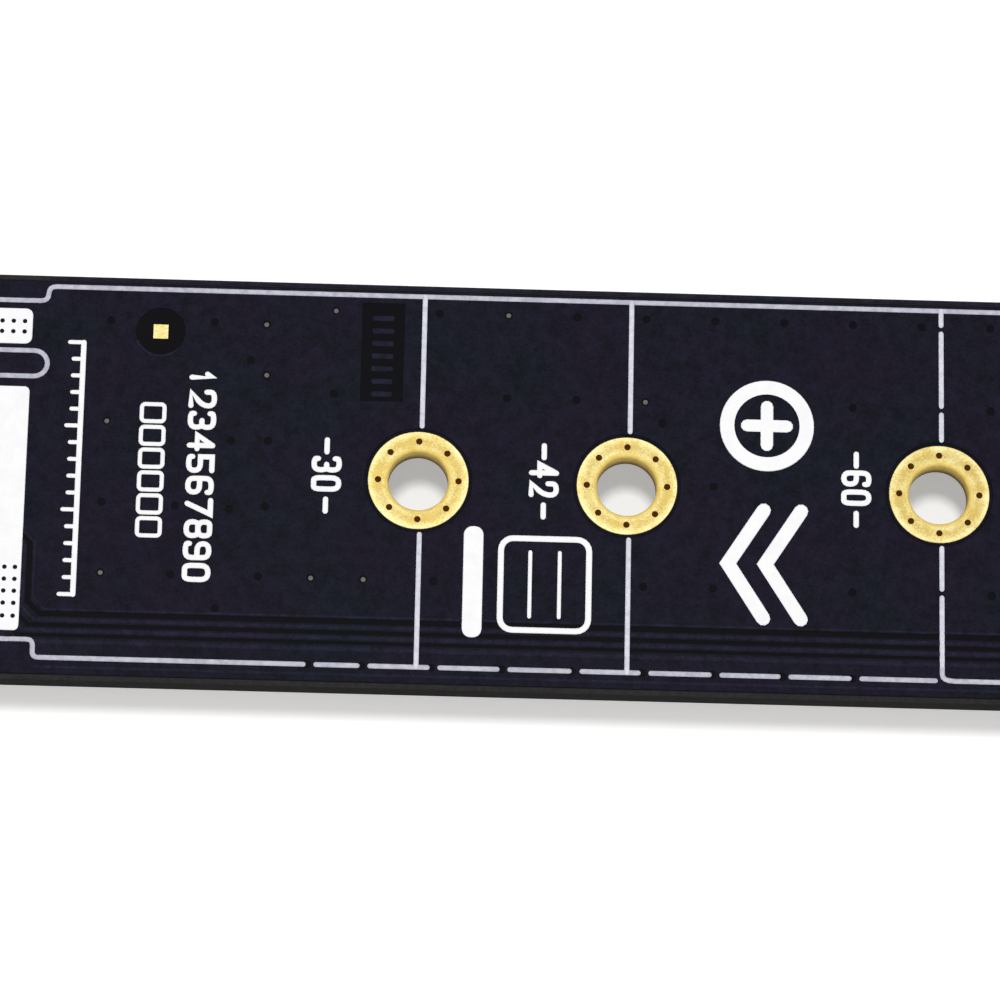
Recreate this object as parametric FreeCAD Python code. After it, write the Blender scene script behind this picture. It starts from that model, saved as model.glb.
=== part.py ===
"""Adapter card for a solid-state drive: a strip board with a host card edge at one end, a 75-position
M-key drive socket on its lower face, and plated holes for the standoff of each drive length.

Millimetres. +X runs from the host edge to the far end, +Z points away from the component face, and the
card lies on its socket. The origin is at the centre of the card's footprint, at the socket's lowest face.
"""
import FreeCAD
import Part
import math
import os

V = FreeCAD.Vector

overcut = 1.0                # how far a cutting solid runs past what it cuts
overlap = 0.1                # how far solids run into each other before they are fused

# ---- Board -------------------------------------------------------------------------------------------
board_width = 24.0
board_thickness = 1.6
far_corner_radius = 0.6
far_margin = 4.25            # last hole's centre to the far end
component_land = 6.3         # root of the host tab to the socket's rear wall
drive_axis_y = 0.3           # centre line of the drive and its holes, from the board's centre line
drive_lengths = (30, 42, 60, 80)

# ---- Host card edge ----------------------------------------------------------------------------------
tab_depth = 8.25
tab_short_side = 11.65       # side of the key that carries contacts 1 to 11
tab_key_width = 1.9
tab_long_side = 7.65         # side of the key that carries contacts 12 to 18
tab_key_depth = 7.65
tab_corner = 0.5
tab_root_radius = 0.8
tab_bevel_length = 1.3
tab_bevel_depth = 0.35
host_pitch = 1.0
host_first_from_key = 1.5    # centre of the key to the contacts beside it
host_contacts_short_side = 11
host_contacts_long_side = 7
pad_width = 0.7
pad_length = 4.3
pad_setback = 1.45
pad_late = 1.1               # the two presence-detect contacts mate this much later
plating = 0.05

# ---- Plated holes ------------------------------------------------------------------------------------
hole_radius = 1.725
barrel_wall = 0.17
ring_width = 1.175
ring_via_radius = 0.19
ring_via_count = 8
ring_via_sides = 5           # the vias are too small to need a true round

# ---- Fiducial marks ----------------------------------------------------------------------------------
fiducial_size = 0.85
fiducial_from_socket = 14.9  # along X from the seated drive's contact end
fiducial_from_axis = 8.5

# ---- Drive socket, measured from the contact end of a seated drive and down from the component face --
socket_height = 4.2
socket_width = 21.9
socket_rear = 3.7
socket_front = 3.6
socket_hood_front = 2.3
socket_standoff = 0.1        # gap under the moulding, so that solder can be washed out
socket_rear_chamfer = 0.3
cheek_step = 0.25            # each end of the moulding slants from the lip back to the hood
cheek_nose = 0.35
cheek_nose_height = 0.3
mouth_width = 20.05
mouth_floor = 2.3
mouth_ceiling = 3.42
mouth_back = 0.15            # the drive stops this far from the mouth's rear wall
floor_lead_in = 0.45
floor_lead_in_slope = 0.69
hood_lead_in = 0.5
hood_lead_in_slope = 0.43
key_offset = 6.125
key_rib = 1.0
key_rib_setback = 0.6        # behind the hood's front edge
lip_bottom = 1.3
lip_depth = 0.5
hood_front_wall = 0.25
lower_slot_start = -0.6
contact_pitch = 0.5
contact_positions_upper = 38
contact_positions_lower = 37
key_gap = 4                  # positions in each row that the key takes away
contact_strip = 0.15
contact_width = 0.22
slot_clearance = 0.04
groove_clearance = 0.05
tail_reach = 0.7
upper_roof_gap = 0.25        # middle of the upper springs above the mouth's ceiling
upper_bend_at = -0.2
upper_touch_at = 1.3
upper_tip_rise = 0.14
lower_run_down = 0.55        # middle of the lower springs under the mouth
lower_joggle_start = 0.3     # behind the front of the moulding
lower_joggle_end = 0.7
lower_back_at = -0.1
lower_knee_at = -0.25
lower_knee_down = 1.3
lower_touch_at = 2.2
lower_tip_drop = 0.25
spring_tip = 0.5
drive_seat = 2.45            # component face to the underside of a seated drive
drive_thickness = 0.8
peg_from_axis = 9.9
peg_from_drive_end = 1.6
peg_large_radius = 0.8
peg_small_radius = 0.55
peg_length = 1.2
peg_clearance = 0.05
peg_shoulder = 0.12

# ---- Socket anchors ----------------------------------------------------------------------------------
anchor_sheet = 0.25
anchor_width = 2.4
anchor_height = 2.5
anchor_foot = 0.6
anchor_clearance = 0.03
anchor_from_drive_end = -1.4

# ---- Standoff and screws -----------------------------------------------------------------------------
standoff_flats = 4.6
spigot_clearance = 0.06
spigot_short = 0.25          # the spigot stops this far inside the board's other face
thread_radius = 1.0
thread_clearance = 0.05
drive_screw_head_radius = 2.4
drive_screw_head_height = 0.7
drive_screw_length = 1.4
back_screw_head_radius = 2.2
back_screw_head_height = 0.9
back_screw_length = 2.0
head_edge = 0.2
recess_span = 2.2
recess_width = 0.55
recess_depth = 0.35

# ---- Chips: length, width, height, width of each end cap ---------------------------------------------
chip_large = (2.0, 1.25, 1.25, 0.45)
chip_small = (1.6, 0.8, 0.8, 0.35)
chip_flat = (1.6, 0.8, 0.45, 0.3)
cap_thickness = 0.04
capacitor_row_from_tab = 2.9
large_capacitor_from_axis = 8.3
small_capacitor_from_axis = 5.3
lamp_from_end = 1.65
lamp_from_axis = 7.8
lamp_resistor_from_axis = 5.2
lamp_base_height = 0.3
lamp_lens_height = 0.35
lamp_lens_inset = 0.32
lamp_lens_edge = 0.12

# ---- Places that follow from the sizes above ---------------------------------------------------------
board_length = tab_depth + component_land + socket_rear + max(drive_lengths) + far_margin
near_x = -board_length / 2
far_x = board_length / 2
tab_root_x = near_x + tab_depth
drive_end_x = tab_root_x + component_land + socket_rear
component_face_z = socket_height
back_face_z = component_face_z + board_thickness
tab_width = tab_short_side + tab_key_width + tab_long_side
tab_low_y = -tab_width / 2
key_centre_y = tab_low_y + tab_short_side + tab_key_width / 2
far_hole_x = drive_end_x + max(drive_lengths)
barrel_radius = hole_radius + barrel_wall
ring_radius = hole_radius + ring_width
ring_via_circle = hole_radius + ring_width / 2
through_board = (component_face_z - overcut, back_face_z + overcut)


# ---- Plain solids ------------------------------------------------------------------------------------
def block(x0, x1, y0, y1, z0, z1):
    return Part.makeBox(x1 - x0, y1 - y0, z1 - z0, V(x0, y0, z0))


def rod(x, y, z0, z1, radius):
    return Part.makeCylinder(radius, z1 - z0, V(x, y, z0))


def joined(solids):
    result = solids[0]
    for solid in solids[1:]:
        result = result.fuse(solid)
    return result.removeSplitter()


def plate(points, z0, z1):
    """A flat plate from z0 to z1 with the outline given as (x, y) corners."""
    corners = [V(x, y, z0) for x, y in points]
    face = Part.Face(Part.makePolygon(corners + corners[:1]))
    return face.extrude(V(0, 0, z1 - z0))


def circle_points(x, y, radius, count):
    """Points evenly spaced on a circle, the first one towards +X."""
    turn = 2 * math.pi / count
    return [(x + radius * math.cos(n * turn), y + radius * math.sin(n * turn)) for n in range(count)]


def section(points, y0, y1):
    """A bar along Y. Its outline is given as (distance towards the far end from the seated drive's
    contact end, distance down from the component face)."""
    corners = [V(drive_end_x + along, y0, component_face_z - down) for along, down in points]
    face = Part.Face(Part.makePolygon(corners + corners[:1]))
    return face.extrude(V(0, y1 - y0, 0))


def rectangle(along0, along1, down0, down1):
    return [(along0, down0), (along1, down0), (along1, down1), (along0, down1)]


def rounded_edges(solid, radius, wanted):
    return solid.makeFillet(radius, [edge for edge in solid.Edges if wanted(edge)])


def upright_at(edge, x):
    """True for an edge that runs along Z at the given x."""
    ends = [vertex.Point for vertex in edge.Vertexes]
    if len(ends) != 2 or abs(ends[0].z - ends[1].z) < board_thickness / 2:
        return False
    return abs(ends[0].x - x) < 1e-6 and abs(ends[1].x - x) < 1e-6


# ---- Circuit board -----------------------------------------------------------------------------------
def bevel_wedge(face_z, inward):
    """The wedge taken off one face of the tab's mating edge, so that the card slides into its slot."""
    profile = [
        V(near_x - overcut, 0, face_z + inward * tab_bevel_depth * (1 + overcut / tab_bevel_length)),
        V(near_x - overcut, 0, face_z - inward * overcut),
        V(near_x + tab_bevel_length, 0, face_z - inward * overcut),
        V(near_x + tab_bevel_length, 0, face_z),
    ]
    face = Part.Face(Part.makePolygon(profile + profile[:1]))
    face.translate(V(0, -tab_width, 0))
    return face.extrude(V(0, 2 * tab_width, 0))


def key_notch():
    end_x = near_x + tab_key_depth - tab_key_width / 2
    low, high = key_centre_y - tab_key_width / 2, key_centre_y + tab_key_width / 2
    slot = block(near_x - overcut, end_x, low, high, *through_board)
    return slot.fuse(rod(end_x, key_centre_y, *through_board, tab_key_width / 2))


def peg_places():
    x = drive_end_x + peg_from_drive_end
    return [
        (x, drive_axis_y - peg_from_axis, peg_large_radius),
        (x, drive_axis_y + peg_from_axis, peg_small_radius),
    ]


def make_board():
    half, tab_high_y = board_width / 2, tab_low_y + tab_width
    outline = [
        (far_x, -half), (far_x, half), (tab_root_x, half), (tab_root_x, tab_high_y),
        (near_x + tab_corner, tab_high_y), (near_x, tab_high_y - tab_corner),
        (near_x, tab_low_y + tab_corner), (near_x + tab_corner, tab_low_y),
        (tab_root_x, tab_low_y), (tab_root_x, -half),
    ]
    board = plate(outline, component_face_z, back_face_z)
    board = rounded_edges(board, far_corner_radius, lambda edge: upright_at(edge, far_x))
    shoulder = (board_width - tab_width) / 2
    radius = min(tab_root_radius, 0.45 * shoulder)
    board = rounded_edges(board, radius, lambda edge: upright_at(edge, tab_root_x))
    cuts = [key_notch(), bevel_wedge(component_face_z, 1), bevel_wedge(back_face_z, -1)]
    for length in drive_lengths:
        x = drive_end_x + length
        cuts.append(rod(x, drive_axis_y, *through_board, barrel_radius))
    for x, y, radius in peg_places():
        cuts.append(rod(x, y, *through_board, radius + peg_clearance))
    for cut in cuts:
        board = board.cut(cut)
    return board


# ---- Plated holes: a copper barrel through the board with a ring of vias on each face ----------------
def make_plated_hole(length):
    x = drive_end_x + length
    low, high = component_face_z, back_face_z
    spool = joined([
        rod(x, drive_axis_y, low - plating, low, ring_radius),
        rod(x, drive_axis_y, low, high, barrel_radius),
        rod(x, drive_axis_y, high, high + plating, ring_radius),
    ])
    spool = spool.cut(rod(x, drive_axis_y, *through_board, hole_radius))
    vias = []
    for via_x, via_y in circle_points(x, drive_axis_y, ring_via_circle, ring_via_count):
        outline = circle_points(via_x, via_y, ring_via_radius, ring_via_sides)
        vias.append(plate(outline, high, high + overcut))
        vias.append(plate(outline, low - overcut, low))
    return spool.cut(Part.makeCompound(vias))


# ---- Host contacts: gold pads on both faces of the tab -----------------------------------------------
def host_contact_centres():
    """Y of contacts 1 to 18, counted from the short side's outer edge across the key."""
    centres = []
    for number in range(host_contacts_short_side):
        steps_out = host_contacts_short_side - 1 - number
        centres.append(key_centre_y - host_first_from_key - steps_out * host_pitch)
    for number in range(host_contacts_long_side):
        centres.append(key_centre_y + host_first_from_key + number * host_pitch)
    return centres


def make_host_contacts(z0, z1, late_contact):
    pads = []
    for number, y in enumerate(host_contact_centres(), start=1):
        late = pad_late if number == late_contact else 0
        start = near_x + pad_setback + late
        end = near_x + pad_setback + pad_length
        pads.append(block(start, end, y - pad_width / 2, y + pad_width / 2, z0, z1))
    return Part.makeCompound(pads)


# ---- Fiducial marks: two bare copper squares for the placing machine's camera ------------------------
def make_fiducials():
    marks = []
    near = (drive_end_x + fiducial_from_socket, drive_axis_y + fiducial_from_axis)
    far = (far_hole_x, drive_axis_y - fiducial_from_axis)
    for x, y in (near, far):
        half = fiducial_size / 2
        marks.append(block(x - half, x + half, y - half, y + half, back_face_z, back_face_z + plating))
    return Part.makeCompound(marks)


# ---- Drive socket ------------------------------------------------------------------------------------
def row_centres(positions):
    """Y of the contacts in one row, without those that the key takes away."""
    centres = []
    for number in range(positions):
        y = (number - (positions - 1) / 2) * contact_pitch
        if abs(y - key_offset) > key_gap * contact_pitch / 2:
            centres.append(drive_axis_y + y)
    return centres


def strip_profile(route, thickness):
    """Outline of a bent strip of metal that follows the route, mitred at its bends."""
    sides = ([], [])
    last = len(route) - 1
    for number, (x, y) in enumerate(route):
        before = route[max(number - 1, 0)]
        after = route[min(number + 1, last)]
        into = unit(x - before[0], y - before[1]) if number > 0 else unit(after[0] - x, after[1] - y)
        out = unit(after[0] - x, after[1] - y) if number < last else into
        normal = unit(-(into[1] + out[1]), into[0] + out[0])
        reach = thickness / 2 / (normal[0] * -into[1] + normal[1] * into[0])
        sides[0].append((x + reach * normal[0], y + reach * normal[1]))
        sides[1].append((x - reach * normal[0], y - reach * normal[1]))
    return sides[0] + sides[1][::-1]


def unit(x, y):
    length = math.hypot(x, y)
    return (x / length, y / length)


def upper_route():
    """From the solder tail behind the socket, up its rear wall and forward over the drive."""
    half = contact_strip / 2
    rear = -socket_rear + groove_clearance + half
    roof = mouth_ceiling + upper_roof_gap
    touch = drive_seat + drive_thickness + half
    return [
        (-socket_rear - tail_reach, half), (rear, half), (rear, roof),
        (upper_bend_at, roof), (upper_touch_at, touch), (upper_touch_at + spring_tip, touch + upper_tip_rise),
    ]


def lower_route():
    """From the solder tail under the lip, back below the mouth, round, and forward under the drive."""
    half = contact_strip / 2
    touch = drive_seat - half
    return [
        (socket_front + tail_reach, half), (socket_front - lower_joggle_start, half),
        (socket_front - lower_joggle_end, lower_run_down), (lower_back_at, lower_run_down),
        (lower_knee_at, lower_knee_down), (lower_touch_at, touch),
        (lower_touch_at + spring_tip, touch - lower_tip_drop),
    ]


def make_contacts(route, centres):
    profile = strip_profile(route, contact_strip)
    return Part.makeCompound(
        [section(profile, y - contact_width / 2, y + contact_width / 2) for y in centres]
    )


def make_housing():
    low, high = drive_axis_y - socket_width / 2, drive_axis_y + socket_width / 2
    body = section(
        [
            (-socket_rear, socket_standoff), (socket_front, socket_standoff),
            (socket_front, mouth_floor - floor_lead_in), (socket_front - cheek_step, mouth_floor),
            (socket_hood_front + cheek_nose, mouth_ceiling),
            (socket_hood_front, mouth_ceiling + cheek_nose_height), (socket_hood_front, socket_height),
            (-socket_rear + socket_rear_chamfer, socket_height),
            (-socket_rear, socket_height - socket_rear_chamfer),
        ],
        low, high,
    )
    body = body.cut(make_mouth())
    key_y = drive_axis_y + key_offset
    rib = rectangle(
        -mouth_back - overlap, socket_hood_front - key_rib_setback,
        mouth_floor - overlap, mouth_ceiling + overlap,
    )
    body = body.fuse(section(rib, key_y - key_rib / 2, key_y + key_rib / 2))
    body = body.cut(make_slots())
    for place in anchor_places():
        body = body.cut(anchor_pocket(*place))
    pegs = []
    under = component_face_z - socket_standoff
    for x, y, radius in peg_places():
        pegs.append(rod(x, y, under - overlap, component_face_z + peg_length, radius))
        pegs.append(rod(x, y, under, component_face_z, radius + peg_shoulder))
    return joined([body] + pegs)


def make_mouth():
    """The space that takes the drive's edge, flared at the front so that a tilted drive finds its way."""
    floor_start = socket_front - floor_lead_in
    hood_start = socket_hood_front - hood_lead_in
    front = socket_front + overcut
    profile = [
        (-mouth_back, mouth_floor), (floor_start, mouth_floor),
        (front, mouth_floor - floor_lead_in_slope * (front - floor_start)),
        (front, mouth_ceiling + hood_lead_in_slope * (front - hood_start)),
        (hood_start, mouth_ceiling), (-mouth_back, mouth_ceiling),
    ]
    return section(profile, drive_axis_y - mouth_width / 2, drive_axis_y + mouth_width / 2)


def make_slots():
    """One slot for each spring. The upper ones open to the rear wall and the mouth's ceiling, and the
    lower ones to the underside and the mouth's floor."""
    half = contact_width / 2 + slot_clearance
    rear, front = -socket_rear - overcut, socket_front + overcut
    rear_inner = -socket_rear + contact_strip + 2 * groove_clearance
    roof = mouth_ceiling + upper_roof_gap + contact_strip / 2 + groove_clearance
    hood = socket_hood_front - hood_front_wall
    upper = [
        (rear, -overcut), (rear_inner, -overcut), (rear_inner, mouth_ceiling - overlap),
        (hood, mouth_ceiling - overlap), (hood, roof), (rear, roof),
    ]
    lip = socket_front - lip_depth
    lower = [
        (lower_slot_start, -overcut), (front, -overcut), (front, lip_bottom), (lip, lip_bottom),
        (lip, mouth_floor + overlap), (lower_slot_start, mouth_floor + overlap),
    ]
    rows = [(upper, contact_positions_upper), (lower, contact_positions_lower)]
    return Part.makeCompound(
        [section(profile, y - half, y + half) for profile, count in rows for y in row_centres(count)]
    )


# ---- Socket anchors: bent tinned tabs in the ends of the moulding, soldered to the board -------------
def anchor_places():
    """Outer face of each end of the socket, and the way that end faces."""
    return [
        (drive_axis_y - socket_width / 2, -1),
        (drive_axis_y + socket_width / 2, 1),
    ]


def anchor_pocket(face_y, outward):
    half = anchor_width / 2 + anchor_clearance
    depth = anchor_sheet + anchor_clearance
    profile = rectangle(
        anchor_from_drive_end - half, anchor_from_drive_end + half, -overcut, anchor_height + anchor_clearance
    )
    inner, outer = sorted((face_y - outward * depth, face_y + outward * overcut))
    return section(profile, inner, outer)


def make_anchor(face_y, outward):
    half = anchor_width / 2
    start, end = anchor_from_drive_end - half, anchor_from_drive_end + half
    inner = face_y - outward * anchor_sheet
    upright = section(rectangle(start, end, 0, anchor_height), *sorted((inner, face_y)))
    foot_end = inner + outward * anchor_foot
    foot = section(rectangle(start, end, 0, anchor_sheet), *sorted((inner, foot_end)))
    return joined([upright, foot])


# ---- Standoff and its two screws ---------------------------------------------------------------------
def make_standoff():
    corner = standoff_flats / 2 / math.cos(math.pi / 6)
    outline = circle_points(far_hole_x, drive_axis_y, corner, 6)
    ring_face = component_face_z - plating
    seat = component_face_z - drive_seat
    body = plate(outline, seat, ring_face)
    spigot_top = back_face_z - spigot_short
    body = body.fuse(rod(far_hole_x, drive_axis_y, ring_face, spigot_top, hole_radius - spigot_clearance))
    bore = thread_radius + thread_clearance
    return body.cut(rod(far_hole_x, drive_axis_y, seat - overcut, back_face_z, bore))


def make_screw(seat_z, outward, head_radius, head_height, length):
    """A pan-head screw seated at seat_z, with its head on the outward side and a cross recess."""
    x, y = far_hole_x, drive_axis_y
    top_z = seat_z + outward * head_height
    head = rod(x, y, min(seat_z, top_z), max(seat_z, top_z), head_radius)
    rim = [e for e in head.Edges if abs(e.CenterOfMass.z - top_z) < 1e-6 and len(e.Vertexes) == 1]
    head = head.makeChamfer(head_edge, rim)
    tip_z = seat_z - outward * length
    shank = rod(x, y, min(seat_z, tip_z), max(seat_z, tip_z), thread_radius)
    low, high = sorted((top_z - outward * recess_depth, top_z + outward * overcut))
    screw = joined([head, shank])
    span, width = recess_span / 2, recess_width / 2
    screw = screw.cut(block(x - span, x + span, y - width, y + width, low, high))
    return screw.cut(block(x - width, x + width, y - span, y + span, low, high))


# ---- Chips: each is a body with a metal cap over each end --------------------------------------------
def chip_body(x, y, chip):
    length, width, height, _ = chip
    return block(
        x - width / 2 + cap_thickness, x + width / 2 - cap_thickness,
        y - length / 2 + cap_thickness, y + length / 2 - cap_thickness,
        component_face_z - height + cap_thickness, component_face_z - cap_thickness,
    )


def chip_ends(x, y, chip):
    length, width, height, cap = chip
    caps = []
    for side in (-1, 1):
        outer = y + side * length / 2
        low, high = sorted((outer, outer - side * cap))
        shell = block(x - width / 2, x + width / 2, low, high, component_face_z - height, component_face_z)
        caps.append(shell.cut(chip_body(x, y, chip)))
    return Part.makeCompound(caps)


def make_lamp(x, y):
    """Status lamp: a white base with a metal end at each side and a clear moulded lens."""
    length, width, _, cap = chip_flat
    low, high = component_face_z - lamp_base_height, component_face_z
    base = block(x - width / 2, x + width / 2, y - length / 2 + cap, y + length / 2 - cap, low, high)
    ends = Part.makeCompound([
        block(x - width / 2, x + width / 2, y - length / 2, y - length / 2 + cap, low, high),
        block(x - width / 2, x + width / 2, y + length / 2 - cap, y + length / 2, low, high),
    ])
    half = length / 2 - lamp_lens_inset
    lens = block(x - width / 2, x + width / 2, y - half, y + half, low - lamp_lens_height, low)
    face_z = low - lamp_lens_height
    lens = lens.makeChamfer(lamp_lens_edge, [e for e in lens.Edges if abs(e.CenterOfMass.z - face_z) < 1e-6])
    return base, ends, lens


# ---- Every piece, one file each ----------------------------------------------------------------------
pieces = {"circuit_board": make_board()}
for drive_length in drive_lengths:
    pieces["plated_hole_%d" % drive_length] = make_plated_hole(drive_length)
pieces["host_contacts_front"] = make_host_contacts(component_face_z - plating, component_face_z, 17)
pieces["host_contacts_back"] = make_host_contacts(back_face_z, back_face_z + plating, 1)
pieces["fiducial_marks"] = make_fiducials()
pieces["socket_housing"] = make_housing()
pieces["socket_upper_contacts"] = make_contacts(upper_route(), row_centres(contact_positions_upper))
pieces["socket_lower_contacts"] = make_contacts(lower_route(), row_centres(contact_positions_lower))
for name, place in zip(("near", "far"), anchor_places()):
    pieces["socket_anchor_%s" % name] = make_anchor(*place)
pieces["drive_standoff"] = make_standoff()
pieces["drive_screw"] = make_screw(
    component_face_z - drive_seat, -1, drive_screw_head_radius, drive_screw_head_height, drive_screw_length
)
pieces["standoff_screw"] = make_screw(
    back_face_z + plating, 1, back_screw_head_radius, back_screw_head_height, back_screw_length
)
capacitor_x = tab_root_x + capacitor_row_from_tab
for number, (side, from_axis, chip) in enumerate([
    (-1, large_capacitor_from_axis, chip_large), (-1, small_capacitor_from_axis, chip_small),
    (1, small_capacitor_from_axis, chip_small), (1, large_capacitor_from_axis, chip_large),
], start=1):
    y = drive_axis_y + side * from_axis
    pieces["supply_capacitor_%d_body" % number] = chip_body(capacitor_x, y, chip)
    pieces["supply_capacitor_%d_ends" % number] = chip_ends(capacitor_x, y, chip)
lamp_x = far_x - lamp_from_end
lamp_y = drive_axis_y - lamp_from_axis
pieces["lamp_base"], pieces["lamp_ends"], pieces["lamp_lens"] = make_lamp(lamp_x, lamp_y)
resistor_y = drive_axis_y - lamp_resistor_from_axis
pieces["lamp_resistor_body"] = chip_body(lamp_x, resistor_y, chip_flat)
pieces["lamp_resistor_ends"] = chip_ends(lamp_x, resistor_y, chip_flat)

os.makedirs("parts", exist_ok=True)
for name, shape in pieces.items():
    shape.exportStep("parts/%s.step" % name)
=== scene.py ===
import math
import bpy
import bmesh
from mathutils import Matrix, Vector, geometry


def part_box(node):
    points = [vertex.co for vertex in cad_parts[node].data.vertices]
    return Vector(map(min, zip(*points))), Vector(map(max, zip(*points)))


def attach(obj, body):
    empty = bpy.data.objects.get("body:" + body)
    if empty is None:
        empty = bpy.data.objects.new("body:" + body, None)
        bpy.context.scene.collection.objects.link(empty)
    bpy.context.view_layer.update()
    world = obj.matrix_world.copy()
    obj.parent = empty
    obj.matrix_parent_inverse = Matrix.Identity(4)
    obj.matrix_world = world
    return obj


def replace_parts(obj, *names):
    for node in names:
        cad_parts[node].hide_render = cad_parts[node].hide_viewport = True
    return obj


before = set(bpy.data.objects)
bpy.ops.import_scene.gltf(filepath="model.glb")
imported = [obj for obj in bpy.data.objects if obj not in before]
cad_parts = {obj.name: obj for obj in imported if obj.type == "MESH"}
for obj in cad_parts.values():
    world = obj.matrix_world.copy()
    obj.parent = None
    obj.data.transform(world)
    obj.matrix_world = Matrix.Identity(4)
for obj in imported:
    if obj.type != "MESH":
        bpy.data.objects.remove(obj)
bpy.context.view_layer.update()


# ---- Circuit board -----------------------------------------------------------------------------------
# Glass-fibre laminate, routed to its outline, with its end bevelled where it slides into the host. Black
# solder mask covers its faces, and stops short of the routed edge.

mm = 0.001


def corners_of(node):
    """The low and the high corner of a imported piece, in millimetres."""
    low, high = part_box(node)
    return low / mm, high / mm


board_low, board_high = corners_of("circuit_board")
board_half = (board_high.y - board_low.y) / 2
rim_width = 0.3
bevel_length = 1.3


class Signal:
    """A value, colour or vector on its way through a material. Arithmetic on it adds the nodes."""

    def __init__(self, socket):
        self.socket = socket

    def node(self, kind, settings=(), sockets=(), output=0):
        """Adds a node. Its settings are set first, then its sockets get their values or links."""
        tree = self.socket.id_data
        made = tree.nodes.new("ShaderNode" + kind)
        for name, value in dict(settings).items():
            setattr(made, name, value)
        for name, value in dict(sockets).items():
            if isinstance(value, Signal):
                tree.links.new(value.socket, made.inputs[name])
            else:
                made.inputs[name].default_value = value
        return Signal(made.outputs[output])

    def reckon(self, operation, *others):
        """One step of arithmetic on this value, named as the Math node names it."""
        return self.node("Math", {"operation": operation}, dict(enumerate((self, *others))))

    def __add__(self, other):
        return self.reckon("ADD", other)

    def __radd__(self, other):
        return self.reckon("ADD", other)

    def __mul__(self, other):
        return self.reckon("MULTIPLY", other)

    def __rmul__(self, other):
        return self.reckon("MULTIPLY", other)

    def __sub__(self, other):
        return self.reckon("SUBTRACT", other)

    def __rsub__(self, other):
        return self.node("Math", {"operation": "SUBTRACT"}, {0: other, 1: self})

    def between(self, low, high):
        """1 above high, 0 below low, and a straight climb from one to the other."""
        return self.node("MapRange", {}, {0: self, 1: low, 2: high})

    def blend(self, first, second):
        """The first colour where this is 0, the second where it is 1."""
        first = first if isinstance(first, Signal) else (*first, 1)
        second = second if isinstance(second, Signal) else (*second, 1)
        return self.node("Mix", {"data_type": "RGBA"}, {0: self, 6: first, 7: second}, output=2)

    def along(self, axis):
        """One part of this vector: 0 for x, 1 for y, 2 for z."""
        return self.node("SeparateXYZ", {}, {0: self}, axis)

    def noise(self, size, detail=2.0, rough=0.5):
        """Soft random spots, about size millimetres across, at this place."""
        sockets = {"Vector": self, "Scale": 1 / (size * mm), "Detail": detail, "Roughness": rough}
        return self.node("TexNoise", {}, sockets)

    def relief(self, depth):
        """A surface normal for a height that runs from 0 to 1, worth depth millimetres."""
        return self.node("Bump", {}, {"Height": self, "Strength": 1.0, "Distance": depth * mm})


def material(name, build, **constants):
    """A material. The constants are set on its shader, and build gives the sockets that vary."""
    made = bpy.data.materials.new(name)
    made.use_nodes = True
    tree = made.node_tree
    shader = tree.nodes["Principled BSDF"]
    for socket, value in constants.items():
        shader.inputs[socket.replace("_", " ")].default_value = value
    place = Signal(tree.nodes.new("ShaderNodeTexCoord").outputs["Object"])
    for socket, signal in build(place).items():
        tree.links.new(signal.socket, shader.inputs[socket])
    return made


def finish_cad(node, finish):
    """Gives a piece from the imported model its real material."""
    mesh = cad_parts[node].data
    mesh.materials.clear()
    mesh.materials.append(finish)


def mask_shades(dark, light, rough, depth):
    """Black mask ink: a little violet in places and a little blue in others, with a fine orange peel."""
    def build(place):
        mottle = place.noise(0.7, 3.0, 0.65)
        fine = place.noise(0.14, 2.0)
        cast = place.noise(5.0, 1.0).between(0.38, 0.62)
        shade = (0.6 * mottle + 0.4 * fine).between(0.36, 0.64)
        violet, cool = [
            shade.blend([dark * part for part in tint], [light * part for part in tint])
            for tint in ((1.1, 0.85, 2.0), (0.8, 0.95, 1.8))
        ]
        return {
            "Base Color": cast.blend(violet, cool),
            "Roughness": rough + 0.14 * mottle,
            "Normal": (0.6 * fine + 0.4 * mottle).relief(depth),
        }
    return build


def board_edge(place):
    """Mask straight on the laminate is darker. It stops short of the routed edge and leaves a rim of
    bare laminate there. The sides show the cut glass strands, and the tab's end has a bare bevel."""
    finish = mask_shades(0.0010, 0.0026, 0.46, 0.004)(place)
    strands = place.noise(0.22, 3.0, 0.7).between(0.3, 0.7)
    rim = strands.blend((0.016, 0.0145, 0.0155), (0.029, 0.0265, 0.0275))
    cut = strands.blend((0.0014, 0.0013, 0.0013), (0.004, 0.0036, 0.0034))
    bevel = strands.blend((0.045, 0.038, 0.028), (0.085, 0.074, 0.056))
    facing = place.node("NewGeometry", output=1)
    side = 1 - facing.along(2).reckon("ABSOLUTE").between(0.3, 0.6)
    across = place.along(1) - (board_low.y + board_high.y) / 2 * mm
    mask_end = board_half - rim_width
    bare = across.reckon("ABSOLUTE").between((mask_end - 0.02) * mm, (mask_end + 0.03) * mm)
    bevel_end = board_low.x + bevel_length
    tip = 1 - place.along(0).between(bevel_end * mm, (bevel_end + 0.06) * mm)
    finish["Base Color"] = side.blend(tip.blend(bare.blend(finish["Base Color"], rim), bevel), cut)
    finish["Roughness"] = finish["Roughness"] + 0.25 * side
    return finish


mask_gloss = 0.05
mask_over_laminate = material("mask_over_laminate", board_edge, Specular_IOR_Level=mask_gloss)
finish_cad("circuit_board", mask_over_laminate)


# ---- Copper and vias of the back face ----------------------------------------------------------------
# Foil bonded to the laminate and etched away in gaps and windows. The mask over it is thin, so its relief
# shows. Drilled, plated and filled vias tie it to the other face's sheet, and each shows as a dimple.

back_z, face_z = board_high.z, board_low.z
hole_nodes = ("plated_hole_30", "plated_hole_42", "plated_hole_60", "plated_hole_80")
hole_places = []
for node in hole_nodes:
    low, high = corners_of(node)
    hole_places.append(((low.x + high.x) / 2, (low.y + high.y) / 2))
hole_x, axis_y = hole_places[0]


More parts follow.
